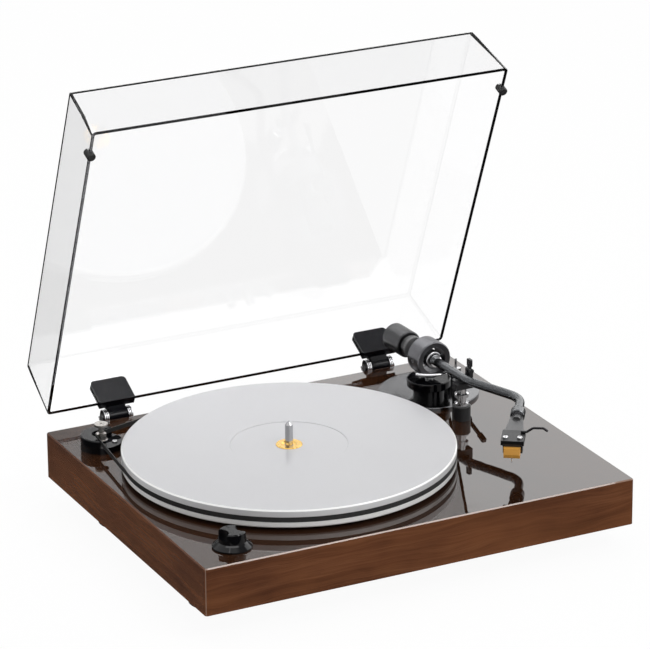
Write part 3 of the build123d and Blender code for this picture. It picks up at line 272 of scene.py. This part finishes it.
def frosted():
    """Frosted acrylic under a polished skin. Light that runs inside it makes its rim paler than its top,
    and that paler rim is painted into its colour.
    """
    m = Shader("frosted_acrylic", FROSTED_TINT, 0.33, ior=ACRYLIC_IOR)
    m.coated(0.45, 0.07)
    m.put("Subsurface Weight", 0.25)
    m.put("Subsurface Radius", (0.01, 0.01, 0.011))
    m.put("Subsurface Scale", 0.4)
    low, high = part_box("platter")
    x, y, height = m.parts(m.place())
    from_x = m.math("SUBTRACT", x, (low.x + high.x) / 2)
    from_y = m.math("SUBTRACT", y, (low.y + high.y) / 2)
    reach = m.math("SQRT", m.math("ADD", m.math("POWER", from_x, 2.0), m.math("POWER", from_y, 2.0)))
    outside = m.math("GREATER_THAN", reach, (high.x - low.x) / 2 - RIM_REACH)
    tilt = m.math("ABSOLUTE", m.parts(m.normal())[2])
    side = m.math("SUBTRACT", 1.0, m.span(tilt, 0.9, 0.98, 0.0, 1.0))
    lower = m.math("LESS_THAN", height, low.z + PLATTER_LOWER_BAND)
    # Painted light: the rim's sides are painted pale for the light that runs out of the acrylic there, the
    # upright face greyer than the sloped edges.
    upper_painted_glow = m.mix(m.span(tilt, 0.1, 0.4, 0.0, 1.0), UPPER_RIM_PAINTED_GLOW, RIM_PAINTED_GLOW)
    rim = m.mix(lower, upper_painted_glow, RIM_PAINTED_GLOW)
    m.set("Base Color", m.mix(m.math("MULTIPLY", side, outside), FROSTED_TINT, rim))
    m.set("Normal", m.bump(m.noise(m.place(), 2600.0, 1.0), 0.06, 0.2 * MM))
    m.set("Roughness", m.span(m.noise(m.place(), 18.0, 2.0), 0.3, 0.7, 0.3, 0.38))
    return m.material


CLEAR_TINT = (0.985, 0.985, 0.987)
SHADOW_TINT = (0.93, 0.93, 0.935)
# RIM_PAINTED_SHADE is painted shade: the dark look of the sawn rim, painted on as a nearly black colour.
RIM_PAINTED_SHADE = (0.02, 0.02, 0.022)
RIM_DEPTH = 5.2 * MM


def clear(rim_direction, hinge_place):
    """Polished clear acrylic. Its sawn rim looks darker than the walls, which is painted onto it as shade,
    and its shadow is faint.
    """
    m = Shader("clear_acrylic", CLEAR_TINT, 0.0, ior=ACRYLIC_IOR)
    m.put("Transmission Weight", 1.0)
    depth = m.math("SUBTRACT", m.dot(m.place(), tuple(rim_direction)), rim_direction.dot(hinge_place))
    rim = m.math("GREATER_THAN", depth, -RIM_DEPTH)
    # Painted shade: the sawn rim gets a nearly black colour.
    m.set("Base Color", m.mix(rim, CLEAR_TINT, RIM_PAINTED_SHADE))
    light = m.tree.nodes.new("ShaderNodeLightPath")
    through = m.node("ShaderNodeBsdfTransparent", Color=(*SHADOW_TINT, 1.0))
    m.finish(m.blend(light.outputs["Is Shadow Ray"], m.base.outputs[0], through.outputs[0]))
    return m.material


PLASTIC_IOR = 1.5
MOTTLE_SHADE = 0.8


def plastic(name, colour, roughness, grain=0.0, scale=1500.0, shine=0.5):
    """Moulded plastic with slight variation and an optional fine texture."""
    m = Shader(name, colour, roughness, ior=PLASTIC_IOR)
    m.put("Specular IOR Level", shine)
    speck = m.noise(m.place(), scale, 2.0)
    m.set("Roughness", m.span(speck, 0.3, 0.7, roughness * 0.85, roughness * 1.15))
    if grain:
        m.set("Normal", m.bump(speck, grain, 0.3 * MM))
    darker = tuple(c * MOTTLE_SHADE for c in colour)
    m.set("Base Color", m.mix(m.noise(m.place(), 40.0, 2.0), colour, darker))
    return m.material


def metal(name, colour, roughness, grain=0.0):
    """Bare or plated metal, a little uneven in its polish, with an optional fine texture."""
    m = Shader(name, colour, roughness, 1.0)
    marks = m.noise(m.place(), 900.0, 2.0)
    m.set("Roughness", m.span(marks, 0.3, 0.7, roughness * 0.8, roughness * 1.25))
    if grain:
        m.set("Normal", m.bump(marks, grain, 0.1 * MM))
    return m.material


GROOVE_SHADE = 0.7


def turned_grey(name, colour, roughness, axis):
    """Satin metal with fine rings left by turning about an axis."""
    m = Shader(name, colour, roughness, 1.0)
    rings = m.noise(m.joined(m.dot(m.place(), tuple(axis)), 0.0, 0.0), 2600.0, 2.0)
    m.set("Roughness", m.span(rings, 0.3, 0.7, roughness * 0.75, roughness * 1.3))
    m.set("Base Color", m.mix(rings, colour, tuple(c * GROOVE_SHADE for c in colour)))
    return m.material


COLLAR_TO_SHOULDER = 42.0 * MM
NECK_GREY = (0.07, 0.07, 0.072)
SHELL_BLACK = (0.006, 0.006, 0.007)


def headshell_paint(collar):
    """The headshell's neck is satin grey, and its wide front is black."""
    m = Shader("headshell_metal", roughness=0.38, metallic=0.6)
    ahead = Vector(collar["axis"])
    shoulder = Vector(collar["pos_m"]).dot(ahead) + COLLAR_TO_SHOULDER
    is_front = m.math("GREATER_THAN", m.dot(m.place(), tuple(ahead)), shoulder)
    m.set("Base Color", m.mix(is_front, NECK_GREY, SHELL_BLACK))
    m.set("Roughness", m.span(m.noise(m.place(), 1600.0, 2.0), 0.3, 0.7, 0.3, 0.45))
    return m.material


DIAL_MARKS = 30
MARK_SHARE = 0.12
MARK_BAND = 4.5 * MM
DIAL_BLACK = (0.008, 0.008, 0.009)
MARK_WHITE = (0.75, 0.75, 0.75)


def dial_paint(turn_joint):
    """A black dial with fine white marks round its edge."""
    m = Shader("dial_plastic", roughness=0.3, ior=PLASTIC_IOR)
    axis = Vector(turn_joint["axis"])
    across = axis.cross(Vector((0, 0, 1))).normalized()
    start = Vector(turn_joint["pos_m"])
    from_axis = m.vector_math("SUBTRACT", m.place(), start)[0]
    angle = m.math("ARCTAN2", m.dot(from_axis, (0, 0, 1)), m.dot(from_axis, tuple(across)))
    share = m.math("FRACT", m.math("MULTIPLY", angle, DIAL_MARKS / (2 * math.pi)))
    mark = m.math("LESS_THAN", share, MARK_SHARE)
    low = min(Vector(corner).dot(axis) for corner in nodes["force_dial"].bound_box) - start.dot(axis)
    band = m.math("LESS_THAN", m.dot(from_axis, tuple(axis)), low + MARK_BAND)
    m.set("Base Color", m.mix(m.math("MULTIPLY", mark, band), DIAL_BLACK, MARK_WHITE))
    return m.material


def cover_paint():
    """The cover is open at rest, so its rim's direction is turned from the one that it has when shut."""
    hinge = node_joint("cover_hinge")
    opened = math.radians(hinge["range_deg"][1])
    rim_direction = Vector((0, 0, -1))
    rim_direction.rotate(Matrix.Rotation(-opened, 3, "X"))
    return clear(rim_direction, Vector(hinge["pos_m"]))


def make_paints():
    """One finish for each material slot of the record, and others for single nodes."""
    arm_axis = node_joint("counterweight_turn")["axis"]
    gloss_black = plastic("black_gloss_plastic", (0.002, 0.002, 0.003), 0.06, shine=0.3)
    satin_black = plastic("black_satin_plastic", (0.010, 0.010, 0.011), 0.38, 0.04)
    arm_metal = metal("arm_gunmetal", (0.095, 0.098, 0.102), 0.24)
    bright = metal("bright_steel", (0.86, 0.86, 0.87), 0.08)
    by_slot = {
        "walnut": walnut(),
        "black_plastic": satin_black,
        "black_rubber": plastic("black_rubber", (0.012, 0.012, 0.012), 0.62, 0.15, 900.0),
        "frosted_acrylic": frosted(),
        "clear_acrylic": cover_paint(),
        "brass": metal("turned_brass", (0.85, 0.55, 0.17), 0.2, 0.03),
        "steel": metal("polished_steel", (0.62, 0.62, 0.63), 0.16),
        "dark_grey_metal": turned_grey("gunmetal", (0.17, 0.17, 0.18), 0.32, arm_axis),
        "weight_metal": turned_grey("weight_gunmetal", (0.085, 0.085, 0.088), 0.34, arm_axis),
        "hinge_metal": plastic("black_hinge_enamel", (0.004, 0.004, 0.006), 0.2, shine=0.15),
        "gold_plastic": plastic("gold_plastic", (0.78, 0.38, 0.07), 0.22),
        "green_board": plastic("printed_board", (0.02, 0.14, 0.06), 0.4),
    }
    by_node = {
        "arm_tube": arm_metal,
        "arm_tube_ring": bright,
        "arm_base": metal("base_disc", (0.14, 0.14, 0.145), 0.16),
        "arm_tower": gloss_black,
        "arm_hub": metal("dark_steel", (0.33, 0.33, 0.34), 0.22),
        "headshell": headshell_paint(node_joint("collar_turn")),
        "finger_lift": gloss_black,
        "locking_collar": arm_metal,
        "force_dial": dial_paint(node_joint("counterweight_turn")),
        "motor_cover": gloss_black,
        "motor_pulley": metal("pulley_alloy", (0.42, 0.4, 0.38), 0.3),
        "speed_knob": gloss_black,
        "hinge_pins": bright,
        "spindle": metal("spindle_steel", (0.4, 0.4, 0.41), 0.14),
        "lift_housing": satin_black,
    }
    return by_slot, by_node


def paint_nodes():
    by_slot, by_node = make_paints()
    for part in frame["record"]["subparts"]:
        data = nodes[part["node"]].data
        data.materials.clear()
        data.materials.append(by_node.get(part["node"], by_slot[part["material_slot"]]))
        for polygon in data.polygons:
            polygon.material_index = 0


# Torsion springs on the cover's hinges.
KNUCKLE_RADIUS = 6.3 * MM
KNUCKLE_HALF_WIDTH = 8.9 * MM
SPRING_WIRE = 0.6 * MM
SPRING_PITCH = 1.65 * MM
SPRING_TURNS = 3
SPRING_STEPS = 40


def spring(name, start, way, material):
    """A close coil about the hinge line. It starts at a point and runs along X."""
    data = bpy.data.curves.new(name, "CURVE")
    data.dimensions = "3D"
    data.bevel_depth = SPRING_WIRE
    data.bevel_resolution = 4
    line = data.splines.new("NURBS")
    line.points.add(SPRING_TURNS * SPRING_STEPS - 1)
    reach = KNUCKLE_RADIUS + SPRING_WIRE
    for index, point in enumerate(line.points):
        turns = index / SPRING_STEPS
        angle = 2 * math.pi * turns
        x = start.x + way * (SPRING_WIRE + turns * SPRING_PITCH)
        y = start.y + reach * math.cos(angle)
        z = start.z + reach * math.sin(angle)
        point.co = (x, y, z, 1.0)
    line.order_u = 4
    line.use_endpoint_u = True
    coil = bpy.data.objects.new(name, data)
    bpy.context.scene.collection.objects.link(coil)
    data.materials.append(material)
    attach(coil, "chassis")


def make_hinge_springs():
    """One spring on each side of both knuckles."""
    axis = Vector(node_joint("cover_hinge")["pos_m"])
    wire = metal("spring_wire", (0.8, 0.8, 0.82), 0.1)
    for side, base in (("left", "hinge_base_left"), ("right", "hinge_base_right")):
        centre = middle(base).x
        for way, end in ((-1, "outer"), (1, "inner")):
            start = Vector((centre + way * KNUCKLE_HALF_WIDTH, axis.y, axis.z))
            spring("hinge_spring_%s_%s" % (side, end), start, way, wire)


def set_camera():
    data = bpy.data.cameras.new("photo_camera")
    data.sensor_width = SENSOR_WIDTH
    data.lens = FOCAL_PIXELS / IMAGE_WIDTH * SENSOR_WIDTH
    data.shift_x = (IMAGE_WIDTH / 2 - CENTRE_X) / IMAGE_WIDTH
    data.shift_y = (CENTRE_Y - IMAGE_HEIGHT / 2) / IMAGE_WIDTH
    data.clip_start = CLIP_START
    data.clip_end = CLIP_END
    camera = bpy.data.objects.new("photo_camera", data)
    bpy.context.scene.collection.objects.link(camera)
    turn = math.radians(CAMERA_AZIMUTH)
    rise = math.radians(CAMERA_ELEVATION)
    way = Vector((-math.sin(turn) * math.cos(rise), math.cos(turn) * math.cos(rise), -math.sin(rise)))
    facing = way.to_track_quat("-Z", "Y").to_matrix().to_4x4()
    roll = Matrix.Rotation(math.radians(CAMERA_ROLL), 4, "Z")
    camera.matrix_world = Matrix.Translation(Vector(CAMERA_PLACE) * MM) @ facing @ roll
    bpy.context.scene.camera = camera


# Sky brightness that polished surfaces mirror, by height above the horizon (the sine of the angle).
MIRRORED_SKY = ((0.0, 2.0), (0.382, 2.0), (0.405, 0.75), (0.43, 0.3), (0.7, 0.4), (0.85, 1.2))
SKY_PEAK = max(strength for position, strength in MIRRORED_SKY)
SKY_TILT = 0.45
AMBIENT = 0.5
THROUGH_CLEAR = 1.02


def set_world():
    """A white studio. Mirrored rays see a bright band low in the sky and a darker one above it."""
    world = bpy.data.worlds.new("studio")
    bpy.context.scene.world = world
    world.use_nodes = True
    tree = world.node_tree
    background = tree.nodes["Background"]
    background.inputs["Color"].default_value = (1, 1, 1, 1)

    def calculate(operation, a, b):
        made = tree.nodes.new("ShaderNodeMath")
        made.operation = operation
        for socket, value in zip(made.inputs, (a, b)):
            if isinstance(value, bpy.types.NodeSocket):
                tree.links.new(value, socket)
            else:
                socket.default_value = value
        return made.outputs[0]

    parts = tree.nodes.new("ShaderNodeSeparateXYZ")
    tree.links.new(tree.nodes.new("ShaderNodeTexCoord").outputs["Generated"], parts.inputs[0])
    turn = math.radians(CAMERA_AZIMUTH)
    sideways = calculate("ADD", calculate("MULTIPLY", parts.outputs[0], math.cos(turn)),
                         calculate("MULTIPLY", parts.outputs[1], math.sin(turn)))
    height = calculate("SUBTRACT", parts.outputs[2], calculate("MULTIPLY", sideways, SKY_TILT))
    bands = tree.nodes.new("ShaderNodeValToRGB")
    tree.links.new(height, bands.inputs[0])
    ramp = bands.color_ramp
    while len(ramp.elements) < len(MIRRORED_SKY):
        ramp.elements.new(0.5)
    for element, (position, strength) in zip(ramp.elements, MIRRORED_SKY):
        share = strength / SKY_PEAK
        element.position = position
        element.color = (share, share, share, 1.0)
    mirrored = calculate("MULTIPLY", bands.outputs[0], SKY_PEAK)
    light = tree.nodes.new("ShaderNodeLightPath")
    not_through = calculate("SUBTRACT", 1.0, light.outputs["Is Transmission Ray"])
    glossy = calculate("MULTIPLY", light.outputs["Is Glossy Ray"], not_through)
    strength = calculate("ADD", calculate("MULTIPLY", calculate("SUBTRACT", 1.0, glossy), AMBIENT),
                         calculate("MULTIPLY", mirrored, glossy))
    strength = calculate("MAXIMUM", strength, light.outputs["Is Camera Ray"])
    through = calculate("MULTIPLY", light.outputs["Is Transmission Ray"], THROUGH_CLEAR)
    tree.links.new(calculate("MAXIMUM", strength, through), background.inputs["Strength"])


FLOOR_REACH = 6.0
FLOOR_TINT = (0.92, 0.92, 0.92)
FLOOR_WHITENESS = 0.95
FLOOR_MIRRORED = 0.05


def floor_paper():
    """White paper. Mirrored rays see it as a dim grey, so the lacquer stays dark."""
    m = Shader("floor_paper", FLOOR_TINT, 0.9)
    light = m.tree.nodes.new("ShaderNodeLightPath")
    is_camera = light.outputs["Is Camera Ray"]
    is_through = light.outputs["Is Transmission Ray"]
    white = m.tree.nodes.new("ShaderNodeEmission")
    through = m.math("MULTIPLY", is_through, THROUGH_CLEAR)
    m.feed(white.inputs["Strength"], m.math("MAXIMUM", is_camera, through))
    dim = m.tree.nodes.new("ShaderNodeEmission")
    dim.inputs["Strength"].default_value = FLOOR_MIRRORED
    shown = m.math("MULTIPLY", m.math("MAXIMUM", is_camera, is_through), FLOOR_WHITENESS)
    paper = m.blend(shown, m.base.outputs[0], white.outputs[0])
    glossy = m.math("MULTIPLY", light.outputs["Is Glossy Ray"], m.math("SUBTRACT", 1.0, is_through))
    m.finish(m.blend(glossy, paper, dim.outputs[0]))
    return m.material


def make_floor():
    mesh = bpy.data.meshes.new("floor")
    corners = [(-FLOOR_REACH, -FLOOR_REACH, 0), (FLOOR_REACH, -FLOOR_REACH, 0),
               (FLOOR_REACH, FLOOR_REACH, 0), (-FLOOR_REACH, FLOOR_REACH, 0)]
    mesh.from_pydata(corners, [], [(0, 1, 2, 3)])
    floor = bpy.data.objects.new("floor", mesh)
    bpy.context.scene.collection.objects.link(floor)
    mesh.materials.append(floor_paper())


# Each softbox's name, place, width and height in metres, and power in watts. They face LIGHT_TARGET.
SOFTBOXES = (
    ("key_softbox", (0.9, -1.7, 2.0), 1.4, 1.0, 24),
    ("top_softbox", (0.0, 0.3, 2.4), 1.6, 1.6, 16),
    ("back_softbox", (0.4, 1.9, 1.6), 2.0, 0.8, 8),
)
LIGHT_TARGET = (0, 0, 0.1)


def set_lights():
    for name, place, width, height, power in SOFTBOXES:
        data = bpy.data.lights.new(name, "AREA")
        data.shape = "RECTANGLE"
        data.size = width
        data.size_y = height
        data.energy = power
        lamp = bpy.data.objects.new(name, data)
        lamp.location = place
        facing = Vector(LIGHT_TARGET) - Vector(place)
        lamp.rotation_euler = facing.to_track_quat("-Z", "Y").to_euler()
        bpy.context.scene.collection.objects.link(lamp)


paint_nodes()
make_hinge_springs()
set_camera()
set_world()
make_floor()
set_lights()

bpy.context.scene.view_settings.view_transform = "Standard"
